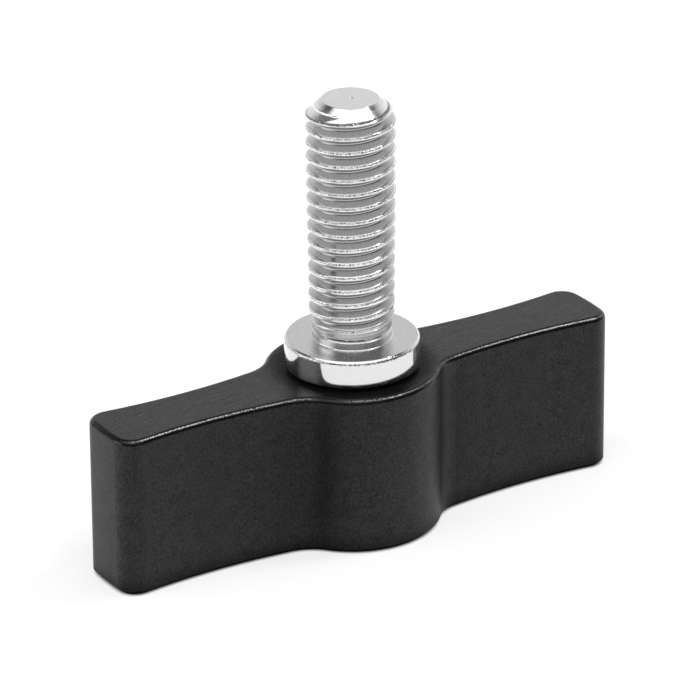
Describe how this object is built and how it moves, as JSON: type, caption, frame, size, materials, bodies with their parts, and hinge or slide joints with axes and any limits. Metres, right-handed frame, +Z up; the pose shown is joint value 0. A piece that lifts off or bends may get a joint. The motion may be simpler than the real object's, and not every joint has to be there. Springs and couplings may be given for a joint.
{
  "type": "t handle knob",
  "caption": "T-shaped hand knob: a short black handle bar with a round boss that carries an upright M6 screw stud with a seating collar.",
  "frame": {"origin": "middle of the handle's flat underside, on the screw's axis", "axes": "+X along the handle bar, +Z up the screw, away from the handle"},
  "size_m": [0.0388, 0.012, 0.0305],
  "materials": {
    "black_handle": "fine-blasted and black anodised, satin",
    "plated_steel": "turned steel with bright nickel plating"
  },
  "bodies": {
    "root": {"t_handle": "black_handle", "threaded_stud": "plated_steel"}
  },
  "joints": []
}
